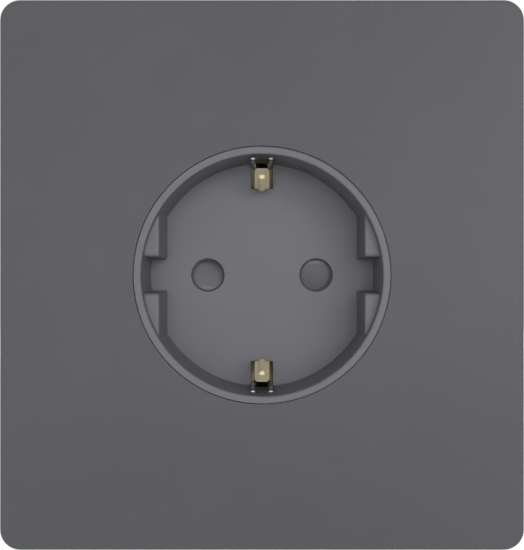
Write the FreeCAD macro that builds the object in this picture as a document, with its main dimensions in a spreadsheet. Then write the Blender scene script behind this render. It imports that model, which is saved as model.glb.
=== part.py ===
import FreeCAD, Part
import math
import os
import re

import Sketcher
from FreeCAD import Placement, Rotation, Vector

# Flush wall socket with side earth clips and a rotary child-protection shutter.
#
# Every piece is drawn as seen from the room: x to the right, y up, z out of the wall, with
# z = 0 at the wall's face on the axis of the round recess. Each piece is then stood up by its
# Placement, so that in the finished part +Z is up and the socket faces -Y. Lengths are in mm.

SIZES = {
    # Cover plate, a hollow moulded shell
    "plate_width": 85.0,
    "plate_height": 89.2,
    "plate_depth": 9.0,
    "plate_corner_radius": 3.3,
    "plate_edge_radius": 0.5,
    "plate_front_wall": 2.0,
    "plate_skirt": 1.8,
    "plate_gap": 0.1,
    "collar_wall": 1.1,
    "collar_gap": 0.3,
    "plate_rib": 1.0,
    "plate_rib_depth": 2.4,
    # Snap hooks of the plate, one at each lug of the support ring
    "hook_width": 4.0,
    "hook_thickness": 1.2,
    "hook_gap": 0.3,
    "hook_barb": 1.1,
    "hook_lead": 1.43,
    "hook_land": 0.44,
    "hook_back": 0.33,
    "hook_length": 5.0,
    # Well: the insert with the round recess for the plug
    "insert_proud": 0.4,
    "well_wall": 1.23,
    "recess_margin": 0.65,
    "recess_draft": 0.08,
    "mouth_round": 0.3,
    "rim_round": 0.25,
    "recess_depth": 17.5,
    "floor_thickness": 2.0,
    "pin_spacing": 19.0,
    "pin_hole_radius": 2.94,
    "pin_hole_lead": 0.3,
    "pin_hole_lead_depth": 1.0,
    "rib_reach": 2.98,
    "rib_gap": 2.74,
    "rib_drop": 2.7,
    "rib_draft": 0.9,
    "rib_top_round": 0.7,
    "rib_edge_round": 0.3,
    "earth_slot_width": 3.87,
    "earth_slot_gap": 0.29,
    "earth_slot_drop": 6.3,
    "well_flange_thickness": 1.6,
    "flange_margin": 0.5,
    "flange_flat_margin": 0.8,
    # Support ring, pressed from one steel sheet
    "steel_thickness": 1.0,
    "ring_side_gap": 5.7,
    "ring_end_gap": 7.8,
    "ring_clip": 12.0,
    "ring_corner_round": 1.5,
    "ring_gap": 0.3,
    "box_slot_inset": 5.0,
    "box_slot_width": 4.2,
    "box_slot_reach": 6.0,
    "corner_hole_inset": 8.5,
    "corner_hole_radius": 2.1,
    "lug_position": 15.0,
    "lug_width": 8.0,
    "lug_height": 5.9,
    "lug_window_width": 4.8,
    "lug_window_low": 2.2,
    "lug_window_high": 4.6,
    "bend_radius": 0.4,
    "strap_side_gap": 0.085,
    "strap_set_back": 3.55,
    "strap_root": 2.0,
    "strap_window_depth": 3.5,
    "strap_bend": 1.6,
    "foot_margin": 2.2,
    # Base housing
    "base_wall": 1.45,
    "base_gap": 0.12,
    "base_flange_thickness": 1.4,
    "base_edge_round": 1.0,
    "base_block_depth": 16.7,
    "base_back_wall": 2.0,
    "pocket_set_back": 4.1,
    "clamp_room": 5.0,
    "pocket_gap": 0.4,
    "channel_gap": 0.6,
    "channel_floor_gap": 0.3,
    "chamber_set_back": 2.9,
    "wire_hole_radius": 1.5,
    "wire_funnel": 0.6,
    "wire_inset": 1.8,
    "wire_offset": 1.2,
    "piece_gap": 0.15,
    "assembly_gap": 0.1,
    # Shutter
    "rotor_rim": 1.1,
    "rotor_thickness": 3.35,
    "rotor_play": 0.15,
    "pivot_radius": 1.5,
    "running_clearance": 0.05,
    "shutter_turn": 35.0,
    "shutter_opening_radius": 3.0,
    "ramp_start": -2.0,
    "ramp_end": 3.6,
    "ramp_depth": 2.5,
    "ramp_reach": 3.3,
    "ramp_rim": 1.0,
    "spring_recess_inner": 2.6,
    "spring_recess_outer": 5.0,
    "spring_recess_depth": 1.9,
    "stop_inset": 1.9,
    "stop_radius": 0.7,
    "stop_height": 1.3,
    "shutter_wire": 0.4,
    "shutter_coil_radius": 3.5,
    "shutter_coil_pitch": 0.5,
    "shutter_coil_turns": 2.5,
    "shutter_leg": 2.2,
    # Contact cover
    "cover_gap": 0.25,
    "cover_thickness": 1.5,
    "guide_play": 0.15,
    "guide_wall": 0.9,
    "cover_pin_hole_radius": 2.8,
    # Earth bracket and its rivets
    "bridge_sink": 0.9,
    "bridge_width": 6.0,
    "brass_thickness": 0.7,
    "tongue_width": 2.5,
    "tongue_gap": 0.75,
    "tongue_nip_step": 0.75,
    "tongue_nip_drop": 11.0,
    "tongue_lean": 0.5,
    "tongue_tip_drop": 5.0,
    "tongue_end_round": 0.55,
    "tongue_bend_round": 1.5,
    "bead_width": 1.2,
    "bead_height": 0.4,
    "bead_end_drop": 7.3,
    "bead_end_round": 0.3,
    "bead_side_round": 0.35,
    "bar_gap": 0.15,
    "bar_width": 0.65,
    "bar_drop": 0.5,
    "rivet_inset": 3.0,
    "rivet_radius": 1.0,
    "rivet_head_radius": 1.6,
    "rivet_head_height": 0.6,
    # Terminals: rail, clamp spring and release button
    "pin_to_rail": 4.9,
    "rail_width": 12.0,
    "rail_end_gap": 1.0,
    "rail_drop": 1.7,
    "leaf_width": 5.0,
    "leaf_thickness": 0.6,
    "leaf_pinch": 4.0,
    "leaf_root_gap": 5.4,
    "leaf_mouth_gap": 6.0,
    "leaf_top_drop": 1.5,
    "leaf_pinch_drop": 5.2,
    "leaf_bend": 1.5,
    "clip_thickness": 0.4,
    "clip_height": 2.0,
    "clip_gap": 0.3,
    "clip_reach": 0.8,
    "clamp_thickness": 0.35,
    "clamp_side_reach": 0.2,
    "clamp_top_gap": 0.3,
    "clamp_end_gap": 0.35,
    "clamp_leg_gap": 0.15,
    "clamp_foot": 1.2,
    "clamp_tip_gap": 0.15,
    "clamp_tip_rise": 9.0,
    "clamp_split": 4.4,
    "clamp_split_rise": 4.6,
    "button_width": 3.4,
    "button_depth": 2.2,
    "button_rail_gap": 0.35,
    "button_proud": 0.6,
    "button_shoulder": 4.8,
    "button_shoulder_height": 0.8,
    "button_nose_width": 0.55,
    "button_nose_rise": 5.4,
    "button_gap": 0.15,
    # Assembly screws
    "screw_gap": 0.3,
    "screw_radius": 1.1,
    "screw_hole_gap": 0.15,
    "screw_head_radius": 1.9,
    "screw_head_height": 1.1,
    "screw_slot": 0.5,
    "screw_slot_depth": 0.5,
    "screw_end": 1.5,
}

# Sizes that follow from the ones above: each fits round its neighbour with a named clearance.
# They run outwards from the plug's pins, and the ring's edges run inwards from the plate's.
LINKS = {
    "pin_offset": "pin_spacing / 2",
    "rotor_radius": "pin_offset + shutter_opening_radius + rotor_rim",
    "stop_circle": "rotor_radius - stop_inset",
    "ramp_inner": "pin_offset - ramp_reach",
    "guide_inner": "rotor_radius + guide_play",
    "guide_outer": "guide_inner + guide_wall",
    "tongue_root": "guide_outer + tongue_gap",
    "tongue_nip": "tongue_root - tongue_nip_step",
    "tongue_tip": "tongue_nip + tongue_lean * (tongue_nip_drop - tongue_tip_drop)",
    "earth_slot_inner": "tongue_root - earth_slot_gap",
    "strap_face": "tongue_root + strap_set_back",
    "strap_outer": "strap_face + steel_thickness",
    "strap_width": "earth_slot_width - 2 * strap_side_gap",
    "mouth_radius": "strap_face + recess_margin",
    "floor_radius": "mouth_radius - recess_draft",
    "rib_face": "mouth_radius - rib_reach",
    "well_outer_radius": "mouth_radius + well_wall",
    "base_inner_radius": "well_outer_radius + base_gap",
    "base_outer_radius": "base_inner_radius + base_wall",
    "cover_radius": "base_inner_radius - cover_gap",
    "ring_hole_radius": "base_outer_radius + ring_gap",
    "screw_circle": "base_outer_radius + screw_gap + screw_head_radius",
    "flange_radius": "screw_circle + screw_head_radius + flange_margin",
    "flange_flat": "base_outer_radius + flange_flat_margin",
    "ring_side": "plate_width / 2 - plate_skirt - ring_side_gap",
    "ring_end": "plate_height / 2 - plate_skirt - ring_end_gap",
    "lug_face": "ring_end + steel_thickness",
    "rail_face": "pin_offset + pin_to_rail",
    "rail_inner": "rail_face - brass_thickness",
    "rivet_circle": "rail_face - rivet_inset",
    "foot_end": "rivet_circle - foot_margin",
    "clamp_width": "rail_width + 2 * clamp_side_reach",
    "wire_spread": "rail_width / 2 - wire_inset",
    "pocket_inner": "pin_offset - pocket_set_back",
    "pocket_outer": "rail_face + clamp_room",
    "pocket_width": "clamp_width + 2 * pocket_gap",
    "chamber_inner": "rail_face - chamber_set_back",
    "channel_width": "bridge_width + 2 * channel_gap",
    "clamp_leg_outer": "pocket_outer - clamp_leg_gap",
    "button_inner": "rail_face + button_rail_gap",
    "button_outer": "button_inner + button_depth",
}
# Levels above the wall's face, from the room towards the back
MOUTH = "(plate_depth + insert_proud)"
PLATE_BACK = "(plate_depth - plate_front_wall)"
WELL_FLANGE_BACK = "(steel_thickness + base_flange_thickness)"
WELL_FLANGE_FRONT = f"({WELL_FLANGE_BACK} + well_flange_thickness)"
FLOOR = f"({MOUTH} - recess_depth)"
FLOOR_BACK = f"({FLOOR} - floor_thickness)"
ROTOR_FRONT = f"({FLOOR_BACK} - rotor_play)"
ROTOR_BACK = f"({ROTOR_FRONT} - rotor_thickness)"
COVER_FRONT = f"({ROTOR_BACK} - rotor_play)"
COVER_BACK = f"({COVER_FRONT} - cover_thickness)"
BLOCK_FRONT = COVER_BACK
BASE_BACK = f"({BLOCK_FRONT} - base_block_depth)"
POCKET_FLOOR = f"({BASE_BACK} + base_back_wall)"
BRIDGE_FRONT = f"({BLOCK_FRONT} - bridge_sink)"
BRIDGE_BACK = f"({BRIDGE_FRONT} - brass_thickness)"
FOOT_BACK = f"({BRIDGE_BACK} - steel_thickness)"
CHANNEL_FLOOR = f"({FOOT_BACK} - rivet_head_height - channel_floor_gap)"
RAIL_END = f"({POCKET_FLOOR} + rail_end_gap)"
RAIL_TOP = f"({BLOCK_FRONT} - rail_drop)"
CLAMP_END = f"({POCKET_FLOOR} + clamp_end_gap)"
OVERRUN = "1"
# Flats around the spring's wire
WIRE_FLATS = 8

doc = FreeCAD.newDocument("WallSocket")
sheet = doc.addObject("Spreadsheet::Sheet", "Sizes")
for row, (alias, size) in enumerate(SIZES.items(), start=1):
    sheet.set(f"A{row}", str(size))
    sheet.setAlias(f"A{row}", alias)
doc.recompute()

STAND_UP = Placement(Vector(0, 0, 0), Rotation(Vector(1, 0, 0), 90))
pieces = []


def spelled_out(text):
    """Put the linked sizes' own formulas in place of their names."""
    return re.sub(r"[a-z]\w*", lambda word: f"({spelled_out(LINKS[word[0]])})"
                  if word[0] in LINKS else word[0], text)


def value(text):
    """Work out a formula of size names."""
    return float(sheet.evalExpression(spelled_out(text)))


def formula(text):
    """Spell a formula of size names as an expression on the sheet."""
    return re.sub(r"[a-z]\w*", lambda word: "Sizes." * (word[0] in SIZES) + word[0],
                  spelled_out(text))


def new_body(name, turn=0):
    """Start a piece; turn rotates it about the socket's axis, in degrees."""
    body = doc.addObject("PartDesign::Body", name)
    body.Label = name
    body.Placement = STAND_UP.multiply(Placement(Vector(0, 0, 0), Rotation(Vector(0, 0, 1), turn)))
    pieces.append(body)
    return body


def origin_feature(body, role):
    return next(item for item in body.Origin.OriginFeatures if item.Role == role)


def sketch_on(body, role, name, level="0"):
    """Attach a sketch to one of the body's own origin planes, level along the plane's normal."""
    sketch = body.newObject("Sketcher::SketchObject", name)
    sketch.AttachmentSupport = (origin_feature(body, role), [""])
    sketch.MapMode = "FlatFace"
    sketch.setExpression("AttachmentOffset.Base.z", formula(level))
    return sketch


def bind(sketch, constraint, text):
    index = sketch.addConstraint(constraint)
    sketch.setExpression(f"Constraints[{index}]", formula(text))


def place(sketch, item, point, x, y):
    """Fix a point of the sketch by formulas for its two coordinates."""
    bind(sketch, Sketcher.Constraint("DistanceX", -1, 1, item, point, value(x)), x)
    bind(sketch, Sketcher.Constraint("DistanceY", -1, 1, item, point, value(y)), y)


def arc_about(centre, radius, first, last):
    """An arc that runs counter-clockwise from one point to the other."""
    angles = [math.atan2(point.y - centre.y, point.x - centre.x) for point in (first, last)]
    return Part.ArcOfCircle(Part.Circle(centre, Vector(0, 0, 1), radius), *angles)


def outline(sketch, corners):
    """Draw a closed outline of straight runs; a third value in a corner rounds it by that radius."""
    spots = [Vector(value(corner[0]), value(corner[1]), 0) for corner in corners]
    count = len(corners)
    arrive = list(spots)
    leave = list(spots)
    arcs = {}
    for i, corner in enumerate(corners):
        if len(corner) < 3:
            continue
        radius = value(corner[2])
        back = (spots[i - 1] - spots[i]).normalize()
        ahead = (spots[(i + 1) % count] - spots[i]).normalize()
        half_angle = back.getAngle(ahead) / 2
        arrive[i] = spots[i] + back * (radius / math.tan(half_angle))
        leave[i] = spots[i] + ahead * (radius / math.tan(half_angle))
        centre = spots[i] + (back + ahead).normalize() * (radius / math.sin(half_angle))
        left_turn = ahead.cross(back).z > 0
        ends = (arrive[i], leave[i]) if left_turn else (leave[i], arrive[i])
        arcs[i] = (arc_about(centre, radius, *ends), (1, 2) if left_turn else (2, 1))
    runs = [
        sketch.addGeometry(Part.LineSegment(leave[i], arrive[(i + 1) % count]), False)
        for i in range(count)
    ]
    for i, corner in enumerate(corners):
        before, after = runs[i - 1], runs[i]
        if i not in arcs:
            sketch.addConstraint(Sketcher.Constraint("Coincident", before, 2, after, 1))
            place(sketch, after, 1, corner[0], corner[1])
            continue
        arc, (enters, exits) = arcs[i]
        tip = sketch.addGeometry(Part.Point(spots[i]), True)
        place(sketch, tip, 1, corner[0], corner[1])
        sketch.addConstraint(Sketcher.Constraint("PointOnObject", tip, 1, before))
        sketch.addConstraint(Sketcher.Constraint("PointOnObject", tip, 1, after))
        bow = sketch.addGeometry(arc, False)
        sketch.addConstraint(Sketcher.Constraint("Tangent", before, 2, bow, enters))
        sketch.addConstraint(Sketcher.Constraint("Tangent", bow, exits, after, 1))
        bind(sketch, Sketcher.Constraint("Radius", bow, value(corner[2])), corner[2])


def rectangle(sketch, left, right, low, high, radius=None):
    corners = [(left, low), (right, low), (right, high), (left, high)]
    if radius:
        corners = [corner + (radius,) for corner in corners]
    outline(sketch, corners)


def circle(sketch, x, y, radius):
    item = sketch.addGeometry(
        Part.Circle(Vector(value(x), value(y), 0), Vector(0, 0, 1), value(radius)), False)
    place(sketch, item, 3, x, y)
    bind(sketch, Sketcher.Constraint("Radius", item, value(radius)), radius)


def arc_slot(sketch, radius, half_width, reach):
    """Draw a curved slot about the origin, centred on +x, its end centres at y = -reach and reach."""
    mid, half, rise = value(radius), value(half_width), value(reach)
    angle = math.asin(rise / mid)
    zero, up = Vector(0, 0, 0), Vector(0, 0, 1)
    rims = [
        sketch.addGeometry(Part.ArcOfCircle(Part.Circle(zero, up, mid + step), -angle, angle), False)
        for step in (half, -half)
    ]
    outer, inner = rims
    for rim, text in ((outer, f"{radius} + {half_width}"), (inner, f"{radius} - {half_width}")):
        sketch.addConstraint(Sketcher.Constraint("Coincident", rim, 3, -1, 1))
        bind(sketch, Sketcher.Constraint("Radius", rim, value(text)), text)
    for side, start, first, last in ((1, angle, (outer, 2), (inner, 2)),
                                     (-1, math.pi - angle, (inner, 1), (outer, 1))):
        centre = Vector(mid * math.cos(angle), side * rise, 0)
        end = sketch.addGeometry(
            Part.ArcOfCircle(Part.Circle(centre, up, half), start, start + math.pi), False)
        sketch.addConstraint(Sketcher.Constraint("Tangent", first[0], first[1], end, 1))
        sketch.addConstraint(Sketcher.Constraint("Tangent", last[0], last[1], end, 2))
        text = f"{side} * ({reach})"
        bind(sketch, Sketcher.Constraint("DistanceY", -1, 1, end, 3, value(text)), text)


def feature(body, kind, sketch, length=None, **settings):
    """Add a sketched feature and check that it added or removed material."""
    before = body.Shape.Volume if body.Tip else 0
    item = body.newObject(kind, sketch.Name + kind.split("::")[1])
    item.Profile = sketch
    if length:
        item.setExpression("Length", formula(length))
    for name, setting in settings.items():
        setattr(item, name, setting)
    body.Tip = item
    doc.recompute()
    change = body.Shape.Volume - before
    removes = kind.endswith(("Pocket", "Groove"))
    if "Invalid" in item.State or (change >= 0) == removes:
        raise RuntimeError(f"{item.Name} changed the volume by {change:.3f}")
    return item


def pad(body, sketch, length, **settings):
    return feature(body, "PartDesign::Pad", sketch, length, **settings)


def pocket(body, sketch, length, **settings):
    return feature(body, "PartDesign::Pocket", sketch, length, **settings)


def revolve(body, sketch):
    return feature(body, "PartDesign::Revolution", sketch,
                   ReferenceAxis=(sketch, ["V_Axis"]), Angle=360)


def mirror(body, features, roles):
    """Repeat features in one or two of the body's origin planes."""
    multi = body.newObject("PartDesign::MultiTransform", "Mirrors")
    multi.Originals = features
    steps = []
    for role in roles:
        step = body.newObject("PartDesign::Mirrored", "Mirror")
        step.MirrorPlane = (origin_feature(body, role), [""])
        steps.append(step)
    multi.Transformations = steps
    body.Tip = multi
    doc.recompute()


def around_axis(body, features, copies):
    """Repeat features evenly about the socket's axis."""
    pattern = body.newObject("PartDesign::PolarPattern", "Turned")
    pattern.Originals = features
    pattern.Axis = (origin_feature(body, "Z_Axis"), [""])
    pattern.Angle = 360
    pattern.Occurrences = copies
    body.Tip = pattern
    doc.recompute()


def dress(body, kind, size, radius, wanted):
    """Round or chamfer the edges whose middle and bounding box pass the given test."""
    tip = body.Tip
    edges = []
    for number, edge in enumerate(tip.Shape.Edges, start=1):
        box = edge.BoundBox
        if wanted(edge.CenterOfMass, box):
            edges.append(f"Edge{number}")
    if not edges:
        raise RuntimeError(f"{body.Label} has no edge to dress")
    item = body.newObject(kind, kind.split("::")[1])
    item.Base = (tip, edges)
    item.setExpression(size, formula(radius))
    body.Tip = item
    doc.recompute()
    return item


def near(number, text, slack=0.02):
    return abs(number - value(text)) < slack


def flange_flats(body, front, thickness):
    """Cut the flange's sides straight, to leave room for the wall box's edge."""
    cut = sketch_on(body, "XY_Plane", "Flats", front)
    for side in ("-1", "1"):
        edges = sorted((f"{side} * flange_flat", f"{side} * (flange_radius + {OVERRUN})"), key=value)
        rectangle(cut, *edges, "-flange_radius", "flange_radius")
    pocket(body, cut, thickness)


def screw_holes(body, front, depth, radius):
    drill = sketch_on(body, "XY_Plane", "ScrewHole", front)
    circle(drill, "screw_circle * cos(45)", "screw_circle * sin(45)", radius)
    around_axis(body, [pocket(body, drill, depth)], 4)


def cover_plate():
    """Front plate: a shell with a collar behind its opening, ribs and four snap hooks."""
    body = new_body("cover_plate")
    block = sketch_on(body, "XY_Plane", "PlateOutline")
    rectangle(block, "-plate_width / 2", "plate_width / 2",
              "-plate_height / 2", "plate_height / 2", "plate_corner_radius")
    pad(body, block, "plate_depth")
    dress(body, "PartDesign::Fillet", "Radius", "plate_edge_radius",
          lambda middle, box: near(box.ZMin, "plate_depth"))
    hollow = sketch_on(body, "XY_Plane", "PlateHollow")
    rectangle(hollow, "plate_skirt - plate_width / 2", "plate_width / 2 - plate_skirt",
              "plate_skirt - plate_height / 2", "plate_height / 2 - plate_skirt",
              "plate_corner_radius - plate_skirt")
    pocket(body, hollow, PLATE_BACK, Reversed=True)
    opening = "well_outer_radius + plate_gap"
    collar = sketch_on(body, "XY_Plane", "Collar", f"{WELL_FLANGE_FRONT} + collar_gap")
    circle(collar, "0", "0", f"{opening} + collar_wall")
    pad(body, collar, f"plate_depth - plate_front_wall / 2 - {WELL_FLANGE_FRONT} - collar_gap")
    ribs = sketch_on(body, "XY_Plane", "Ribs", f"{PLATE_BACK} - plate_rib_depth")
    for side in ("-1", "1"):
        inner, outer = f"{side} * ({opening} + collar_wall / 2)", "plate_skirt / 2"
        wide = sorted((inner, f"{side} * (plate_width / 2 - {outer})"), key=value)
        tall = sorted((inner, f"{side} * (plate_height / 2 - {outer})"), key=value)
        rectangle(ribs, *wide, "-plate_rib / 2", "plate_rib / 2")
        rectangle(ribs, "-plate_rib / 2", "plate_rib / 2", *tall)
    pad(body, ribs, "plate_rib_depth + plate_front_wall / 2")
    hole = sketch_on(body, "XY_Plane", "Opening", "plate_depth")
    circle(hole, "0", "0", opening)
    pocket(body, hole, "plate_depth")
    inner = "(lug_face + hook_gap)"
    outer = f"({inner} + hook_thickness)"
    end = f"({PLATE_BACK} - hook_length)"
    barb = f"({inner} - hook_barb)"
    hook = sketch_on(body, "YZ_Plane", "Hook", "lug_position")
    outline(hook, [
        (outer, f"{PLATE_BACK} + plate_front_wall / 2"),
        (inner, f"{PLATE_BACK} + plate_front_wall / 2"),
        (inner, f"{end} + hook_lead + hook_land + hook_back"),
        (barb, f"{end} + hook_lead + hook_land"),
        (barb, f"{end} + hook_lead"),
        (f"{outer} - hook_thickness / 2", end),
        (outer, end),
    ])
    leaf = pad(body, hook, "hook_width", Midplane=True)
    mirror(body, [leaf], ["YZ_Plane", "XZ_Plane"])


def socket_well():
    """Insert with the plug's recess, guide ribs, earth slots and pin holes."""
    body = new_body("socket_well")
    section = sketch_on(body, "XZ_Plane", "WellSection")
    outline(section, [
        ("0", FLOOR_BACK),
        ("well_outer_radius", FLOOR_BACK),
        ("well_outer_radius", WELL_FLANGE_BACK),
        ("flange_radius", WELL_FLANGE_BACK),
        ("flange_radius", WELL_FLANGE_FRONT),
        ("well_outer_radius", WELL_FLANGE_FRONT),
        ("well_outer_radius", MOUTH, "rim_round"),
        ("mouth_radius", MOUTH, "mouth_round"),
        ("floor_radius", FLOOR),
        ("0", FLOOR),
    ])
    revolve(body, section)
    flange_flats(body, WELL_FLANGE_FRONT, "well_flange_thickness")
    screw_holes(body, WELL_FLANGE_FRONT, "well_flange_thickness", "screw_radius + screw_hole_gap")

    foot = sketch_on(body, "XY_Plane", "GuideRib", FLOOR)
    bury = "((mouth_radius + 3 * well_outer_radius) / 4)"
    wall_x = f"sqrt({bury} ^ 2 - rib_gap ^ 2)"
    wall_y = f"sqrt({bury} ^ 2 - rib_face ^ 2)"
    first = Vector(value("rib_face"), value("rib_gap"), 0)
    second = Vector(value(wall_x), value("rib_gap"), 0)
    third = Vector(value("rib_face"), value(wall_y), 0)
    gap_edge = foot.addGeometry(Part.LineSegment(first, second), False)
    bow = foot.addGeometry(arc_about(Vector(0, 0, 0), value(bury), second, third), False)
    face_edge = foot.addGeometry(Part.LineSegment(third, first), False)
    for one, other in ((gap_edge, bow), (bow, face_edge), (face_edge, gap_edge)):
        foot.addConstraint(Sketcher.Constraint("Coincident", one, 2, other, 1))
    foot.addConstraint(Sketcher.Constraint("Coincident", bow, 3, -1, 1))
    bind(foot, Sketcher.Constraint("Radius", bow, value(bury)), bury)
    place(foot, gap_edge, 1, "rib_face", "rib_gap")
    foot.addConstraint(Sketcher.Constraint("Horizontal", gap_edge))
    foot.addConstraint(Sketcher.Constraint("Vertical", face_edge))
    rib = pad(body, foot, f"{MOUTH} - rib_drop - {FLOOR}")
    rib.setExpression("TaperAngle", formula("-rib_draft"))
    mirror(body, [rib], ["YZ_Plane", "XZ_Plane"])
    rib_top = f"({MOUTH} - rib_drop)"
    dress(body, "PartDesign::Fillet", "Radius", "rib_top_round",
          lambda middle, box: near(box.ZMin, rib_top) and box.YLength < 0.02
          and abs(middle.y) < value("rib_gap") + 1)
    dress(body, "PartDesign::Fillet", "Radius", "rib_edge_round",
          lambda middle, box: abs(middle.x) < value("mouth_radius") - 1
          and value(FLOOR) + 0.1 < middle.z < value(rib_top) - 0.1
          and box.ZLength > 5 and box.XLength < 1 and abs(middle.y) < value("rib_gap") + 1)

    slots = sketch_on(body, "XY_Plane", "EarthSlots", FLOOR_BACK)
    half = "earth_slot_width / 2"
    rectangle(slots, f"-{half}", half, "earth_slot_inner", "well_outer_radius")
    rectangle(slots, f"-{half}", half, "-well_outer_radius", "-earth_slot_inner")
    pocket(body, slots, f"{MOUTH} - earth_slot_drop - {FLOOR_BACK}", Reversed=True)

    pins = sketch_on(body, "XY_Plane", "PinHoles", FLOOR)
    mouths = sketch_on(body, "XY_Plane", "PinHoleMouths", FLOOR)
    for side in ("", "-"):
        circle(pins, f"{side}pin_offset", "0", "pin_hole_radius - pin_hole_lead")
        circle(mouths, f"{side}pin_offset", "0", "pin_hole_radius")
    pocket(body, pins, "floor_thickness")
    lead = pocket(body, mouths, "pin_hole_lead_depth")
    lead.setExpression("TaperAngle", formula("-atan(pin_hole_lead / pin_hole_lead_depth)"))


def shutter_rotor():
    """Child-protection shutter: a disc on a pivot, pushed round by both pins at once."""
    body = new_body("shutter_rotor")
    section = sketch_on(body, "XZ_Plane", "RotorSection")
    bore = "pivot_radius + running_clearance"
    recess = f"({ROTOR_BACK} + spring_recess_depth)"
    outline(section, [
        (bore, ROTOR_BACK),
        ("spring_recess_inner", ROTOR_BACK),
        ("spring_recess_inner", recess),
        ("spring_recess_outer", recess),
        ("spring_recess_outer", ROTOR_BACK),
        ("rotor_radius", ROTOR_BACK),
        ("rotor_radius", ROTOR_FRONT),
        (bore, ROTOR_FRONT),
    ])
    revolve(body, section)
    ways = sketch_on(body, "XY_Plane", "PinWay", ROTOR_FRONT)
    circle(ways, "-pin_offset * cos(shutter_turn)", "pin_offset * sin(shutter_turn)",
           "shutter_opening_radius")
    way = pocket(body, ways, "rotor_thickness")
    slope = sketch_on(body, "YZ_Plane", "Ramp", "-ramp_inner")
    outline(slope, [
        ("ramp_start", ROTOR_FRONT),
        ("ramp_end", f"{ROTOR_FRONT} - ramp_depth"),
        ("ramp_end", f"{ROTOR_FRONT} + {OVERRUN}"),
        ("ramp_start", f"{ROTOR_FRONT} + {OVERRUN}"),
    ])
    ramp = pocket(body, slope, "rotor_radius - ramp_rim - ramp_inner")
    track = sketch_on(body, "XY_Plane", "StopTrack", ROTOR_BACK)
    track.setExpression("AttachmentOffset.Rotation.Angle", formula("90 - shutter_turn / 2"))
    arc_slot(track, "stop_circle", "(stop_radius + guide_play)",
             "stop_circle * sin(shutter_turn / 2)")
    groove = pocket(body, track, "stop_height + 2 * rotor_play", Reversed=True)
    around_axis(body, [way, ramp, groove], 2)


def shutter_spring():
    """Torsion spring that turns the shutter back: a coil with a leg at each end.

    Its thin round wire is drawn with eight flats, which keeps the coil's facets few.
    """
    start = f"({COVER_FRONT} + shutter_wire)"
    coil = doc.addObject("Part::Helix", "ShutterCoil")
    coil.setExpression("Pitch", formula("shutter_coil_pitch"))
    coil.setExpression("Height", formula("shutter_coil_pitch * shutter_coil_turns"))
    coil.setExpression("Radius", formula("shutter_coil_radius"))
    coil.setExpression("Placement.Base.z", formula(start))
    wire = doc.addObject("Part::RegularPolygon", "ShutterWire")
    wire.Polygon = WIRE_FLATS
    wire.Placement.Rotation = Rotation(Vector(1, 0, 0), 90)
    wire.setExpression("Circumradius", formula("shutter_wire / 2"))
    wire.setExpression("Placement.Base.x", formula("shutter_coil_radius"))
    wire.setExpression("Placement.Base.z", formula(start))
    wound = doc.addObject("Part::Sweep", "ShutterWound")
    wound.Sections = [wire]
    wound.Spine = (coil, ["Edge1"])
    wound.Solid = True
    wound.Frenet = True
    legs = []
    rise = f"({start} + shutter_coil_pitch * shutter_coil_turns)"
    for name, x, z in (("LowLeg", "shutter_coil_radius", start),
                       ("HighLeg", "-shutter_coil_radius", rise)):
        leg = doc.addObject("Part::Prism", name)
        leg.Polygon = WIRE_FLATS
        leg.setExpression("Circumradius", formula("shutter_wire / 2"))
        leg.setExpression("Height", formula("shutter_leg"))
        leg.Placement.Rotation = Rotation(Vector(1, 0, 0), 90)
        leg.setExpression("Placement.Base.x", formula(x))
        leg.setExpression("Placement.Base.z", formula(z))
        legs.append(leg)
    spring = doc.addObject("Part::MultiFuse", "shutter_spring")
    spring.Label = "shutter_spring"
    spring.Shapes = [wound, *legs]
    spring.Placement = STAND_UP
    pieces.append(spring)


def contact_cover():
    """Inner cover that carries the shutter's pivot and guide and closes the contact pockets."""
    body = new_body("contact_cover")
    section = sketch_on(body, "XZ_Plane", "CoverSection")
    outline(section, [
        ("0", COVER_BACK),
        ("cover_radius", COVER_BACK),
        ("cover_radius", COVER_FRONT),
        ("guide_inner + guide_wall", COVER_FRONT),
        ("guide_inner + guide_wall", FLOOR_BACK),
        ("guide_inner", FLOOR_BACK),
        ("guide_inner", COVER_FRONT),
        ("pivot_radius", COVER_FRONT),
        ("pivot_radius", f"{FLOOR_BACK} - assembly_gap"),
        ("0", f"{FLOOR_BACK} - assembly_gap"),
    ])
    revolve(body, section)
    stops = sketch_on(body, "XY_Plane", "Stops", COVER_FRONT)
    circle(stops, "0", "stop_circle", "stop_radius")
    circle(stops, "0", "-stop_circle", "stop_radius")
    pad(body, stops, "stop_height")
    pins = sketch_on(body, "XY_Plane", "PinHoles", COVER_FRONT)
    circle(pins, "pin_offset", "0", "cover_pin_hole_radius")
    circle(pins, "-pin_offset", "0", "cover_pin_hole_radius")
    pocket(body, pins, "cover_thickness")
    notches = sketch_on(body, "XY_Plane", "Notches", COVER_FRONT)
    half = "(tongue_width / 2 + bar_gap + bar_width + piece_gap)"
    inner = "(tongue_root - piece_gap)"
    outer = f"(cover_radius + {OVERRUN})"
    rectangle(notches, f"-{half}", half, inner, outer)
    rectangle(notches, f"-{half}", half, f"-{outer}", f"-{inner}")
    pocket(body, notches, "cover_thickness")


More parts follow.
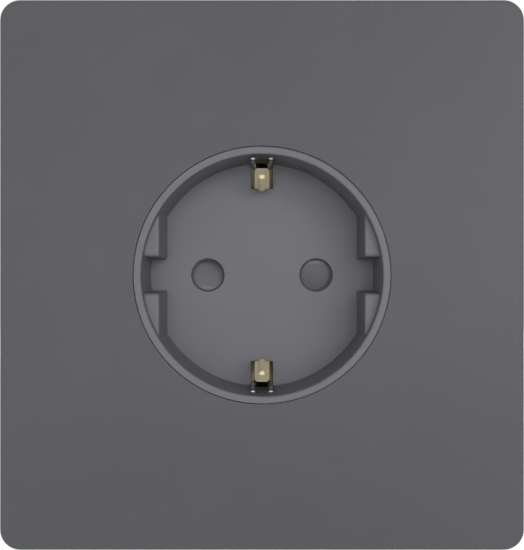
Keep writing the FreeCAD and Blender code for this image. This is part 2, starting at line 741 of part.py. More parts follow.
def base_housing():
    """Moulded base: a cup for the well, pockets for the contacts and openings for the wires."""
    body = new_body("base_housing")
    section = sketch_on(body, "XZ_Plane", "BaseSection")
    outline(section, [
        ("0", BASE_BACK),
        ("base_outer_radius", BASE_BACK, "base_edge_round"),
        ("base_outer_radius", "steel_thickness"),
        ("flange_radius", "steel_thickness"),
        ("flange_radius", WELL_FLANGE_BACK),
        ("base_inner_radius", WELL_FLANGE_BACK),
        ("base_inner_radius", BLOCK_FRONT),
        ("0", BLOCK_FRONT),
    ])
    revolve(body, section)
    flange_flats(body, WELL_FLANGE_BACK, "base_flange_thickness")
    screw_holes(body, WELL_FLANGE_BACK, "base_flange_thickness", "screw_radius + screw_hole_gap")

    hollows = sketch_on(body, "XY_Plane", "Pockets", BLOCK_FRONT)
    half = "pocket_width / 2"
    rectangle(hollows, "pocket_inner", "pocket_outer", f"-{half}", half)
    rectangle(hollows, "-pocket_outer", "-pocket_inner", f"-{half}", half)
    pocket(body, hollows, f"{BLOCK_FRONT} - {POCKET_FLOOR}")
    channel = sketch_on(body, "XY_Plane", "EarthChannel", BLOCK_FRONT)
    end = "(strap_outer + piece_gap)"
    rectangle(channel, "-channel_width / 2", "channel_width / 2", f"-{end}", end)
    pocket(body, channel, f"{BLOCK_FRONT} - {CHANNEL_FLOOR}")
    chamber = sketch_on(body, "XY_Plane", "EarthChamber", BLOCK_FRONT)
    rectangle(chamber, f"-{half}", half, "-pocket_outer", "-chamber_inner")
    pocket(body, chamber, f"{BLOCK_FRONT} - {POCKET_FLOOR}")
    windows = sketch_on(body, "XY_Plane", "StrapWindows", "steel_thickness")
    side = "(strap_width / 2 + piece_gap)"
    outer = f"(base_outer_radius + {OVERRUN})"
    rectangle(windows, f"-{side}", side, "strap_outer", outer)
    rectangle(windows, f"-{side}", side, f"-{outer}", "-strap_outer")
    pocket(body, windows, "strap_window_depth")

    entries = sketch_on(body, "XY_Plane", "WireEntries", BASE_BACK)
    along = "(rail_face + wire_offset)"
    for sign in ("", "-"):
        circle(entries, along, f"{sign}wire_spread", "wire_hole_radius")
        circle(entries, f"-{along}", f"{sign}wire_spread", "wire_hole_radius")
        circle(entries, f"{sign}wire_spread", f"-{along}", "wire_hole_radius")
    pocket(body, entries, "base_back_wall", Reversed=True)
    dress(body, "PartDesign::Chamfer", "Size", "wire_funnel",
          lambda middle, box: near(box.ZMin, BASE_BACK) and near(box.ZMax, BASE_BACK)
          and near(box.XLength, "2 * wire_hole_radius"))
    guides = sketch_on(body, "XY_Plane", "ButtonWindows", BASE_BACK)
    low, high = "(button_inner - button_gap)", "(button_outer + button_gap)"
    side = "(button_width / 2 + button_gap)"
    rectangle(guides, low, high, f"-{side}", side)
    rectangle(guides, f"-{high}", f"-{low}", f"-{side}", side)
    rectangle(guides, f"-{side}", side, f"-{high}", f"-{low}")
    pocket(body, guides, "base_back_wall", Reversed=True)


def support_ring():
    """Steel ring behind the plate, with lugs for the hooks and straps down to the earth bridge."""
    body = new_body("support_ring")
    blank = sketch_on(body, "XY_Plane", "Blank")
    corners = []
    for x_sign, y_sign in (("", ""), ("-", ""), ("-", "-"), ("", "-")):
        pair = [(f"{x_sign}ring_side", f"{y_sign}(ring_end - ring_clip)", "ring_corner_round"),
                (f"{x_sign}(ring_side - ring_clip)", f"{y_sign}ring_end", "ring_corner_round")]
        corners += pair if x_sign == y_sign else pair[::-1]
    outline(blank, corners)
    pad(body, blank, "steel_thickness")
    hole = sketch_on(body, "XY_Plane", "Hole", "steel_thickness")
    circle(hole, "0", "0", "ring_hole_radius")
    pocket(body, hole, "steel_thickness")
    for name, turn, edge, role in (("SideSlot", 0, "ring_side", "YZ_Plane"),
                                   ("EndSlot", 90, "ring_end", "XZ_Plane")):
        slot = sketch_on(body, "XY_Plane", name, "steel_thickness")
        slot.AttachmentOffset.Rotation = Rotation(Vector(0, 0, 1), turn)
        arc_slot(slot, f"({edge} - box_slot_inset)", "(box_slot_width / 2)", "box_slot_reach")
        mirror(body, [pocket(body, slot, "steel_thickness")], [role])
    corner = sketch_on(body, "XY_Plane", "CornerHole", "steel_thickness")
    circle(corner, "ring_side - corner_hole_inset", "ring_end - corner_hole_inset",
           "corner_hole_radius")
    mirror(body, [pocket(body, corner, "steel_thickness")], ["YZ_Plane", "XZ_Plane"])
    screw_holes(body, "steel_thickness", "steel_thickness", "screw_radius + screw_hole_gap / 3")

    bend = sketch_on(body, "YZ_Plane", "Lug", "lug_position")
    root = "(ring_end - 2 * steel_thickness)"
    inside = "(lug_face - steel_thickness)"
    outline(bend, [
        (root, "0"),
        ("lug_face", "0", "bend_radius + steel_thickness"),
        ("lug_face", "lug_height"),
        (inside, "lug_height"),
        (inside, "steel_thickness", "bend_radius"),
        (root, "steel_thickness"),
    ])
    lug = pad(body, bend, "lug_width", Midplane=True)
    opening = sketch_on(body, "XZ_Plane", "LugWindow", "-lug_face")
    rectangle(opening, "lug_position - lug_window_width / 2",
              "lug_position + lug_window_width / 2", "lug_window_low", "lug_window_high")
    window = pocket(body, opening, "steel_thickness", Reversed=True)
    mirror(body, [lug, window], ["YZ_Plane", "XZ_Plane"])

    side = sketch_on(body, "YZ_Plane", "Strap")
    join = "(ring_hole_radius + strap_root)"
    outline(side, [
        (join, "0"),
        (join, "steel_thickness"),
        ("strap_face", "steel_thickness", "strap_bend"),
        ("strap_face", BRIDGE_BACK, "bend_radius"),
        ("foot_end", BRIDGE_BACK),
        ("foot_end", FOOT_BACK),
        ("strap_outer", FOOT_BACK, "bend_radius + steel_thickness"),
        ("strap_outer", "0", "strap_bend - steel_thickness"),
    ])
    strap = pad(body, side, "strap_width", Midplane=True)
    rivet = sketch_on(body, "XY_Plane", "RivetHole", BRIDGE_BACK)
    circle(rivet, "0", "rivet_circle", "rivet_radius + running_clearance")
    drilled = pocket(body, rivet, "steel_thickness")
    mirror(body, [strap, drilled], ["XZ_Plane"])


def earth_bracket():
    """Brass bridge with a springy beaded tongue at each end and a rail for the earth wires.

    The tongue's end is chamfered behind, so that a plug only meets its smooth face. Two bars
    beside each tongue are bent up and lean on the strap, which keeps the bridge in place.
    """
    body = new_body("earth_bracket")
    flat = sketch_on(body, "XY_Plane", "Bridge", BRIDGE_BACK)
    half, wide = "(bridge_width / 2)", "(rail_width / 2)"
    slim, bar = "(tongue_width / 2)", "(tongue_width / 2 + bar_gap)"
    root, relief = "(tongue_root + brass_thickness)", "(tongue_root - brass_thickness)"
    bar_outer = f"({bar} + bar_width)"
    shoulder = "(rail_inner - brass_thickness)"
    right = [
        (slim, f"-{root}"), (slim, f"-{relief}"), (bar, f"-{relief}"), (bar, f"-{root}"),
        (bar_outer, f"-{root}"), (bar_outer, f"-{relief}"), (half, f"-{relief}"),
        (half, "-rail_face"), (wide, "-rail_face"), (wide, f"-{shoulder}"), (half, f"-{shoulder}"),
        (half, relief), (bar_outer, relief), (bar_outer, root), (bar, root), (bar, relief),
        (slim, relief), (slim, root),
    ]
    outline(flat, right + [(f"-{x}", y) for x, y in right[::-1]])
    pad(body, flat, "brass_thickness")
    legs = sketch_on(body, "XZ_Plane", "Rail", "rail_face")
    gate = "(strap_width / 2 + piece_gap)"
    under = f"({FOOT_BACK} - rivet_head_height)"
    outline(legs, [
        (f"-{wide}", RAIL_END), (wide, RAIL_END), (wide, BRIDGE_FRONT), (gate, BRIDGE_FRONT),
        (gate, under), (f"-{gate}", under), (f"-{gate}", BRIDGE_FRONT),
        (f"-{wide}", BRIDGE_FRONT),
    ])
    pad(body, legs, "brass_thickness", Reversed=True)
    rivet = sketch_on(body, "XY_Plane", "RivetHole", BRIDGE_FRONT)
    circle(rivet, "0", "rivet_circle", "rivet_radius + running_clearance")
    circle(rivet, "0", "-rivet_circle", "rivet_radius + running_clearance")
    pocket(body, rivet, "brass_thickness")
    lean = sketch_on(body, "YZ_Plane", "Bar", bar)
    bar_top, bar_end = f"({FLOOR_BACK} - bar_drop)", "(strap_face - assembly_gap)"
    outline(lean, [
        (relief, BRIDGE_BACK), (root, BRIDGE_BACK), (bar_end, f"{bar_top} - 2 * brass_thickness"),
        (bar_end, bar_top), (relief, BRIDGE_FRONT),
    ])
    mirror(body, [pad(body, lean, "bar_width")], ["YZ_Plane", "XZ_Plane"])

    path = [
        ("tongue_root", BRIDGE_BACK, None),
        ("tongue_root", f"({FLOOR} - brass_thickness)", "tongue_bend_round"),
        ("tongue_nip", f"({MOUTH} - tongue_nip_drop)", "tongue_bend_round"),
        ("tongue_tip", f"({MOUTH} - tongue_tip_drop)", None),
    ]
    side = sketch_on(body, "YZ_Plane", "Tongue")
    inner = [(r, z, bow) if bow else (r, z) for r, z, bow in path]
    back = [(f"{r} + brass_thickness", z, bow) if bow else (f"{r} + brass_thickness", z)
            for r, z, bow in path[:-1]]
    chamfer_foot = ("tongue_tip", f"{path[-1][1]} - brass_thickness / tongue_lean")
    outline(side, inner + [chamfer_foot] + back[::-1])
    tongue = pad(body, side, "tongue_width", Midplane=True)
    ridge = sketch_on(body, "YZ_Plane", "Bead")
    nip, tip = path[2], path[3]
    end = f"({MOUTH} - bead_end_drop)"
    face_at_end = "(tongue_nip + tongue_lean * (tongue_nip_drop - bead_end_drop))"
    outline(ridge, [
        ("tongue_root + brass_thickness / 2", FLOOR),
        ("tongue_root - bead_height / 2", FLOOR),
        (f"{nip[0]} - bead_height", nip[1], "tongue_bend_round"),
        (f"{face_at_end} - bead_height", end, "bead_end_round"),
        (f"{face_at_end} + bead_height / 2", f"{end} + bead_height"),
        (f"{nip[0]} + brass_thickness / 2", nip[1]),
    ])
    bead = pad(body, ridge, "bead_width", Midplane=True)
    mirror(body, [tongue, bead], ["XZ_Plane"])

    def height_over_tongue(point):
        """How far a point stands proud of the tongue's face, towards the socket's axis."""
        above_nip = point.z - value(nip[1])
        if above_nip > 0:
            return value("tongue_nip") + value("tongue_lean") * above_nip - abs(point.y)
        drift = above_nip / (value(path[1][1]) - value(nip[1]))
        return value("tongue_nip") + value("tongue_nip_step") * drift - abs(point.y)

    dress(body, "PartDesign::Fillet", "Radius", "bead_side_round",
          lambda middle, box: near(abs(middle.x), "bead_width / 2") and box.XLength < 0.02
          and middle.z > value(FLOOR) and height_over_tongue(middle) > value("bead_height / 4"))
    dress(body, "PartDesign::Fillet", "Radius", "tongue_end_round",
          lambda middle, box: near(box.ZMax, tip[1]) and near(abs(middle.x), slim)
          and box.XLength < 0.02 and box.YLength < 0.02)


def earth_rivets():
    """Two rivets that hold the bridge to the straps' feet."""
    body = new_body("earth_rivets")
    parts = []
    for name, level, length, radius in (
            ("TopHead", BRIDGE_FRONT, "rivet_head_height", "rivet_head_radius"),
            ("LowHead", f"{FOOT_BACK} - rivet_head_height", "rivet_head_height",
             "rivet_head_radius"),
            ("Shank", FOOT_BACK, "brass_thickness + steel_thickness", "rivet_radius")):
        sketch = sketch_on(body, "XY_Plane", name, level)
        circle(sketch, "0", "rivet_circle", radius)
        parts.append(pad(body, sketch, length))
    mirror(body, parts, ["XZ_Plane"])


def pin_contact(name, turn):
    """Contact for one plug pin: a rail for the wires and two leaves that grip the pin."""
    body = new_body(name, turn)
    rail = sketch_on(body, "XZ_Plane", "Rail")
    foot = "(rail_face - 2 * brass_thickness)"
    strip = f"({RAIL_END} + brass_thickness)"
    outline(rail, [
        (foot, RAIL_END), ("rail_face", RAIL_END), ("rail_face", RAIL_TOP),
        ("rail_inner", RAIL_TOP), ("rail_inner", strip), (foot, strip),
    ])
    pad(body, rail, "rail_width", Midplane=True)
    leaves = sketch_on(body, "XZ_Plane", "Leaves")
    top = f"({BLOCK_FRONT} - leaf_top_drop)"
    nip = f"({BLOCK_FRONT} - leaf_pinch_drop)"

    def sheet_side(gap, side, back):
        return f"(pin_offset {side} ({gap} / 2 + {back} * leaf_thickness))"

    def leaf_path(side, back):
        return [(sheet_side("leaf_mouth_gap", side, back), top),
                (sheet_side("leaf_pinch", side, back), nip, "leaf_bend"),
                (sheet_side("leaf_root_gap", side, back), RAIL_END if back else strip)]

    far_outer, far_inner = leaf_path("+", 1), leaf_path("+", 0)
    near_inner, near_outer = leaf_path("-", 0), leaf_path("-", 1)
    outline(leaves, far_inner + near_inner[::-1] + near_outer
            + [("rail_inner", RAIL_END), ("rail_inner", strip), (far_outer[2][0], strip)]
            + far_outer[1::-1])
    pad(body, leaves, "leaf_width", Midplane=True)


def over_spring(name, turn):
    """Steel clip round the two leaves, which keeps their grip."""
    body = new_body(name, turn)
    level = f"({BLOCK_FRONT} - leaf_pinch_drop - clip_height / 2)"
    sketch = sketch_on(body, "XY_Plane", "Clip", level)
    reach = "(leaf_pinch / 2 + leaf_thickness + clip_gap)"
    back = "(leaf_width / 2 + clip_reach)"
    front = "(leaf_width / 2 - clip_reach)"
    outer = "clip_thickness + bend_radius"
    outline(sketch, [
        (f"pin_offset - {reach}", f"-{front}"),
        (f"pin_offset - {reach}", back, "bend_radius"),
        (f"pin_offset + {reach}", back, "bend_radius"),
        (f"pin_offset + {reach}", f"-{front}"),
        (f"pin_offset + {reach} + clip_thickness", f"-{front}"),
        (f"pin_offset + {reach} + clip_thickness", f"{back} + clip_thickness", outer),
        (f"pin_offset - {reach} - clip_thickness", f"{back} + clip_thickness", outer),
        (f"pin_offset - {reach} - clip_thickness", f"-{front}"),
    ])
    pad(body, sketch, "clip_height")


def clamp_spring(name, turn):
    """Leaf spring with two fingers that press the wires against the rail."""
    body = new_body(name, turn)
    side = sketch_on(body, "XZ_Plane", "Strip")
    top = f"({FOOT_BACK} - clamp_top_gap)"
    leg_inner = "(clamp_leg_outer - clamp_thickness)"
    root = f"({leg_inner} - clamp_foot)"
    tip = "(rail_face + clamp_tip_gap)"
    tip_level = f"({CLAMP_END} + clamp_tip_rise)"
    inner_level = f"({CLAMP_END} + clamp_thickness)"
    outer = "bend_radius + clamp_thickness"
    outline(side, [
        ("clamp_leg_outer", top),
        ("clamp_leg_outer", CLAMP_END, outer),
        (f"{root} - clamp_thickness", CLAMP_END, outer),
        (tip, tip_level),
        (f"{tip} + clamp_thickness", tip_level),
        (root, inner_level, "bend_radius"),
        (leg_inner, inner_level, "bend_radius"),
        (leg_inner, top),
    ])
    pad(body, side, "clamp_width", Midplane=True)
    split = sketch_on(body, "YZ_Plane", "Split", "rail_face")
    rectangle(split, "-clamp_split / 2", "clamp_split / 2",
              f"{CLAMP_END} + clamp_split_rise", f"{tip_level} + {OVERRUN}")
    pocket(body, split, f"{leg_inner} - rail_face - clamp_thickness", Reversed=True)


def release_button(name, turn):
    """Push button at the back that lifts the fingers off the wires."""
    body = new_body(name, turn)
    side = sketch_on(body, "XZ_Plane", "Plunger")
    shoulder = f"({POCKET_FLOOR} + assembly_gap)"
    shoulder_top = f"({shoulder} + button_shoulder_height)"
    outline(side, [
        ("button_inner", f"{BASE_BACK} - button_proud"),
        ("button_outer", f"{BASE_BACK} - button_proud"),
        ("button_outer", shoulder_top),
        ("button_inner + button_nose_width", f"{POCKET_FLOOR} + button_nose_rise"),
        ("button_inner", f"{POCKET_FLOOR} + button_nose_rise"),
    ])
    pad(body, side, "button_width", Midplane=True)
    ledge = sketch_on(body, "XY_Plane", "Shoulder", shoulder)
    rectangle(ledge, "button_inner", "button_outer", "-button_shoulder / 2", "button_shoulder / 2")
    pad(body, ledge, "button_shoulder_height")


def assembly_screws():
    """Four screws that clamp both flanges to the support ring."""
    body = new_body("assembly_screws")
    x, y = "screw_circle * cos(45)", "screw_circle * sin(45)"
    shank = sketch_on(body, "XY_Plane", "Shank", "-screw_end")
    circle(shank, x, y, "screw_radius")
    thread = pad(body, shank, f"{WELL_FLANGE_FRONT} + screw_end")
    top = sketch_on(body, "XY_Plane", "Head", WELL_FLANGE_FRONT)
    circle(top, x, y, "screw_head_radius")
    head = pad(body, top, "screw_head_height")
    cut = sketch_on(body, "XY_Plane", "Slot", f"{WELL_FLANGE_FRONT} + screw_head_height")
    rectangle(cut, f"{x} - screw_head_radius", f"{x} + screw_head_radius",
              f"{y} - screw_slot / 2", f"{y} + screw_slot / 2")
    slot = pocket(body, cut, "screw_slot_depth")
    around_axis(body, [thread, head, slot], 4)


TURNS = {"neutral": 0, "live": 180, "earth": 270}

cover_plate()
socket_well()
shutter_rotor()
shutter_spring()
contact_cover()
base_housing()
support_ring()
earth_bracket()
earth_rivets()
for pole in ("live", "neutral"):
    pin_contact(f"{pole}_contact", TURNS[pole])
    over_spring(f"{pole}_over_spring", TURNS[pole])
for pole, turn in TURNS.items():
    clamp_spring(f"{pole}_clamp_spring", turn)
    release_button(f"{pole}_release_button", turn)
assembly_screws()
doc.recompute()

for item in doc.Objects:
    if "Invalid" in item.State or "Error" in item.State:
        raise RuntimeError(f"{item.Name} did not build: {item.State}")
for piece in pieces:
    if piece.Shape.isNull() or not piece.Shape.isValid() or not piece.Shape.Solids:
        raise RuntimeError(f"{piece.Label} has no valid solid")

os.makedirs("parts", exist_ok=True)
for piece in pieces:
    piece.Shape.exportStep(os.path.join("parts", f"{piece.Label}.step"))
    print(f"{piece.Label}: {len(piece.Shape.Solids)} solid(s), {piece.Shape.Volume:.1f} mm3")
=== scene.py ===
# %% [markdown]
# # A flush wall socket, dressed for its portrait
#
# The socket is a dark grey cover plate with a round insert, both moulded from thermoplastic. Deep
# in the insert stand two brass earth tongues, and behind the pin holes waits a shutter. The solids
# come ready made as a fixed frame. This lesson gives each one the finish of the real material, and
# then makes the small things that a modeller leaves to the end: screws, rivets, springs, buttons.

# %% Load the frame
import math

import bmesh
import bpy
from mathutils import Matrix, Vector


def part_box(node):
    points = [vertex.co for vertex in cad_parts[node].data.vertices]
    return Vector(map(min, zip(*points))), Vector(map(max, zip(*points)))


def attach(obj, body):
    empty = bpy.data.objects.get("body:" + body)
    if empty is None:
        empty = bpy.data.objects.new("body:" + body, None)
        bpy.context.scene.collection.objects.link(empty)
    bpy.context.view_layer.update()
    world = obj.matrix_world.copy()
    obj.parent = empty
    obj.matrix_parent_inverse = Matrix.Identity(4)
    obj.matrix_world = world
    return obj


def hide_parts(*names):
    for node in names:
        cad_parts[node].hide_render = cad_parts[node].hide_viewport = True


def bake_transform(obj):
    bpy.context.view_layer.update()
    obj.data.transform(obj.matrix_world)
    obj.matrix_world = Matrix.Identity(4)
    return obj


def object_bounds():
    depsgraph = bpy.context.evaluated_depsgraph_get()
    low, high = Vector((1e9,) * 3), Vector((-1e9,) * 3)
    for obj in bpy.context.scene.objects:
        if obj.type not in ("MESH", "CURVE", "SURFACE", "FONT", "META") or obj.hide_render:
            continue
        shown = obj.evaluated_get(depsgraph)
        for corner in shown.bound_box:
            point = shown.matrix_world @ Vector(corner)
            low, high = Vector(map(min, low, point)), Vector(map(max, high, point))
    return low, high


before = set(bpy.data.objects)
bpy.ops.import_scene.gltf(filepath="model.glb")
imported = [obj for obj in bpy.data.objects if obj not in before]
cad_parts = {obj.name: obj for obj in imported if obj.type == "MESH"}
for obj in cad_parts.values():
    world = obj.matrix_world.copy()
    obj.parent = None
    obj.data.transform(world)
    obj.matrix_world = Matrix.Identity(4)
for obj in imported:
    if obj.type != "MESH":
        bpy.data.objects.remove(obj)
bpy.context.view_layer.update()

MM = 0.001

# %% [markdown]
# ## Colours
#
# A colour is easiest to read off a sample card as a hex code, but a shader works in linear light.
# One function turns the one into the other. Middle grey shows why it matters: its code is half
# way to white, and in linear light it is little more than a fifth.

# %% Hex code to linear light
def colour(hex_code):
    """Turn an sRGB hex colour into linear RGBA."""
    parts = [int(hex_code[i:i + 2], 16) / 255 for i in (1, 3, 5)]
    linear = [c / 12.92 if c <= 0.04045 else ((c + 0.055) / 1.055) ** 2.4 for c in parts]
    return (*linear, 1.0)


print("#808080 in linear light:", round(colour("#808080")[0], 3))

# %% [markdown]
# ## Nodes
#
# Every material below is a small tree of nodes. One function adds a node, sets it up and wires
# it, whatever its kind, so that a material reads as a list of what is laid over what. A second
# one clears the ready tree and starts with the shader. Two short ones follow: one turns a real
# size into a pattern's scale, and one hands a finished material to the solids.

# %% Add a node
def add(tree, kind, links=None, **settings):
    """Add one node, set its properties or inputs, and link outputs into its inputs."""
    node = tree.nodes.new(kind)
    for name, setting in settings.items():
        if name in node.bl_rna.properties:
            setattr(node, name, setting)
        else:
            node.inputs[name.replace("_", " ")].default_value = setting
    for socket, source in (links or {}).items():
        tree.links.new(source, node.inputs[socket])
    return node


def start_material(name, **settings):
    """Start a material. Plain values go straight on its shader's own sockets."""
    material = bpy.data.materials.new(name)
    material.use_nodes = True
    tree = material.node_tree
    tree.nodes.clear()
    shader = add(tree, "ShaderNodeBsdfPrincipled", **settings)
    add(tree, "ShaderNodeOutputMaterial", {"Surface": shader.outputs[0]})
    return material, tree, shader


# %% Scale a pattern, paint a solid
def per_mm(size):
    """Scale of a pattern whose repeat is so many millimetres, on coordinates in metres."""
    return 1 / (size * MM)


def paint(material, *names):
    """Give CAD nodes a material."""
    for name in names:
        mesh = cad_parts[name].data
        mesh.materials.clear()
        mesh.materials.append(material)
    print(material.name, "on", ", ".join(names))


print("a pattern that repeats every 2 mm has the scale", per_mm(2))

# %% [markdown]
# ## Moulded plastic
#
# The plate and the insert are injection moulded. Two things tell the eye so. A tool that was
# eroded with sparks leaves a skin of tiny grains, which spreads a highlight without hiding it, and
# the melt shrinks a little unevenly, so a large flat face has slow waves that bend reflections.
# Both are noise at two very different scales, added into one bump. The grain also varies the
# roughness a little, and the waves the pigment, far less than one would notice by itself. Edges
# come out of a tool slightly rounded: a Bevel node rounds the shading of the sharp edges by a
# tenth of a millimetre, which catches a thin line of light.

# %% A moulded skin
EDGE = 0.12                       # mm that the shading rounds off a sharp edge
EDGE_SAMPLES = 4                  # few, because the noise of so thin a line doesn't show
GRAIN = 0.35                      # mm, coarser than the real 0.05 so that it can show at all
WAVE = 14.0                       # mm from one slow wave to the next
TONE_LOW, TONE_HIGH = 0.35, 0.65  # where one shade of pigment turns into the other
NOISE_LOW, NOISE_HIGH = 0.3, 0.7  # a noise texture hardly leaves this range


def moulded(name, light, dark, roughness, swing, grain_depth, wave_depth):
    """A moulded plastic: two close shades of pigment, a fine grain and slow waves of shrinkage."""
    material, tree, shader = start_material(name)
    where = add(tree, "ShaderNodeTexCoord").outputs["Object"]
    cloud = add(tree, "ShaderNodeTexNoise", {"Vector": where}, Scale=per_mm(WAVE), Detail=2.0)
    grain = add(tree, "ShaderNodeTexNoise", {"Vector": where}, Scale=per_mm(GRAIN), Detail=2.0)
    shade = add(tree, "ShaderNodeValToRGB", {"Fac": cloud.outputs["Fac"]})
    low, high = shade.color_ramp.elements
    low.position, low.color = TONE_LOW, colour(dark)
    high.position, high.color = TONE_HIGH, colour(light)
    gloss = add(tree, "ShaderNodeMapRange", {"Value": grain.outputs["Fac"]}, From_Min=NOISE_LOW,
                From_Max=NOISE_HIGH, To_Min=roughness - swing, To_Max=roughness + swing)
    edge = add(tree, "ShaderNodeBevel", samples=EDGE_SAMPLES, Radius=EDGE * MM)
    wave = add(tree, "ShaderNodeBump", {"Height": cloud.outputs["Fac"], "Normal": edge.outputs[0]},
               Strength=1.0, Distance=wave_depth * MM)
    skin = add(tree, "ShaderNodeBump", {"Height": grain.outputs["Fac"], "Normal": wave.outputs[0]},
               Strength=1.0, Distance=grain_depth * MM)
    tree.links.new(shade.outputs["Color"], shader.inputs["Base Color"])
    tree.links.new(gloss.outputs[0], shader.inputs["Roughness"])
    tree.links.new(skin.outputs[0], shader.inputs["Normal"])
    return material


print("grain scale:", round(per_mm(GRAIN)), "wave scale:", round(per_mm(WAVE)))

# %% Five plastics
# The plate is polished thermoplastic in anthracite: a soft sheen with a clear highlight.
plate_plastic = moulded("PolishedThermoplastic", "#4F4F55", "#4E4E53", 0.30, 0.005, 0.0001, 0.02)
# The insert is the same anthracite from a finely eroded tool: lighter because it scatters more.
insert_plastic = moulded("ErodedThermoplastic", "#6E6E74", "#6C6C72", 0.42, 0.03, 0.0008, 0.01)
# The shutter slides on the pins, so it is a slippery acetal: satin, a touch lighter.
shutter_plastic = moulded("SatinAcetal", "#75757A", "#717176", 0.38, 0.03, 0.0008, 0.005)
# The base is pressed from urea, pale and chalky.
base_plastic = moulded("PressedUrea", "#D9D6CD", "#D2CFC5", 0.5, 0.03, 0.004, 0.02)
# The release buttons are orange polyamide, waxy, with a broad soft highlight.
button_plastic = moulded("OrangePolyamide", "#D0652A", "#C45C22", 0.45, 0.03, 0.002, 0.004)

paint(plate_plastic, "cover_plate")
paint(insert_plastic, "socket_well")
paint(shutter_plastic, "shutter_rotor")
paint(base_plastic, "base_housing", "contact_cover")
paint(button_plastic, "live_release_button", "neutral_release_button", "earth_release_button")

# %% [markdown]
# ## Rolled and plated metal
#
# Sheet metal is rolled, and the rolls drag fine streaks along it. Stretching a noise in one
# direction gives such streaks: the Mapping node squeezes the pattern along the grain. Brass and
# spring steel differ in colour and in how polished they are, so one function serves both.

# %% A rolled sheet
EDGE_METAL = 0.08                 # mm that the shading rounds off a cut edge
STREAK = 0.25                     # mm between two streaks
STAIN = 3.0                       # mm across a patch of slightly other colour
ALONG = (1.0, 1.0, 0.04)          # the rolls ran along the socket's height
SMOOTHER, ROUGHER = 0.04, 0.05    # how far the streaks shift the roughness


def rolled(name, light, dark, roughness, streak_depth, bare=1.0):
    """A rolled sheet metal: streaks along the rolling direction, in gloss and relief."""
    material, tree, shader = start_material(name, Metallic=bare)
    where = add(tree, "ShaderNodeTexCoord").outputs["Object"]
    lay = add(tree, "ShaderNodeMapping", {"Vector": where}, Scale=ALONG)
    streak = add(tree, "ShaderNodeTexNoise", {"Vector": lay.outputs[0]},
                 Scale=per_mm(STREAK), Detail=3.0)
    stain = add(tree, "ShaderNodeTexNoise", {"Vector": where}, Scale=per_mm(STAIN), Detail=2.0)
    shade = add(tree, "ShaderNodeValToRGB", {"Fac": stain.outputs["Fac"]})
    low, high = shade.color_ramp.elements
    low.position, low.color = NOISE_LOW, colour(dark)
    high.position, high.color = NOISE_HIGH, colour(light)
    gloss = add(tree, "ShaderNodeMapRange", {"Value": streak.outputs["Fac"]}, From_Min=NOISE_LOW,
                From_Max=NOISE_HIGH, To_Min=roughness - SMOOTHER, To_Max=roughness + ROUGHER)
    edge = add(tree, "ShaderNodeBevel", samples=EDGE_SAMPLES, Radius=EDGE_METAL * MM)
    relief = add(tree, "ShaderNodeBump",
                 {"Height": streak.outputs["Fac"], "Normal": edge.outputs[0]},
                 Strength=1.0, Distance=streak_depth * MM)
    tree.links.new(shade.outputs["Color"], shader.inputs["Base Color"])
    tree.links.new(gloss.outputs[0], shader.inputs["Roughness"])
    tree.links.new(relief.outputs[0], shader.inputs["Normal"])
    return material


print("streak scale:", round(per_mm(STREAK)), "stain scale:", round(per_mm(STAIN)))

# %% Brass and two steels
# Air has dulled the brass: a thin tarnish scatters about half of the light, like a pale paint.
brass = rolled("TarnishedBrass", "#FBECC6", "#F1E1B8", 0.34, 0.0004, bare=0.5)
# Spring steel is rolled hard and bright, with a trace of blue: narrow highlights on a cool grey.
spring_steel = rolled("BlueRolledSpringSteel", "#A8A9AB", "#96979A", 0.22, 0.0005)
# Screws and rivets are zinc plated, which gives them a faint warm tint.
plated_steel = rolled("ZincPlatedSteel", "#CFCDBE", "#BFBDAE", 0.25, 0.0004)

paint(brass, "earth_bracket", "live_contact", "neutral_contact")
paint(spring_steel, "shutter_spring", "live_over_spring", "neutral_over_spring",
      "live_clamp_spring", "neutral_clamp_spring", "earth_clamp_spring")
paint(plated_steel, "assembly_screws", "earth_rivets")

# %% [markdown]
# ## Galvanised steel
#
# The support ring is pressed from steel sheet that was dipped in zinc. Zinc freezes in flat
# crystals, the spangle, each tilted its own way and so each a slightly different grey. A Voronoi
# texture is a good likeness: every cell gets one random value, which shifts its colour and gloss.

# %% Spangle
SPANGLE = 2.2                              # mm across a crystal
CRYSTAL_LOW, CRYSTAL_HIGH = 0.1, 0.9       # random values at which the two greys are reached
CRYSTAL_GLOSS, CRYSTAL_SATIN = 0.14, 0.24  # roughness of the brightest and the dullest crystal
galvanised, tree, shader = start_material("GalvanisedSteel", Metallic=1.0)
where = add(tree, "ShaderNodeTexCoord").outputs["Object"]
crystal = add(tree, "ShaderNodeTexVoronoi", {"Vector": where}, Scale=per_mm(SPANGLE))
shade = add(tree, "ShaderNodeValToRGB", {"Fac": crystal.outputs["Color"]})
low, high = shade.color_ramp.elements
low.position, low.color = CRYSTAL_LOW, colour("#B4B7BA")
high.position, high.color = CRYSTAL_HIGH, colour("#CBCED1")
gloss = add(tree, "ShaderNodeMapRange", {"Value": crystal.outputs["Color"]},
            To_Min=CRYSTAL_GLOSS, To_Max=CRYSTAL_SATIN)
ring_low, ring_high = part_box("support_ring")
print("crystals across the ring:", round((ring_high.x - ring_low.x) / (SPANGLE * MM)))
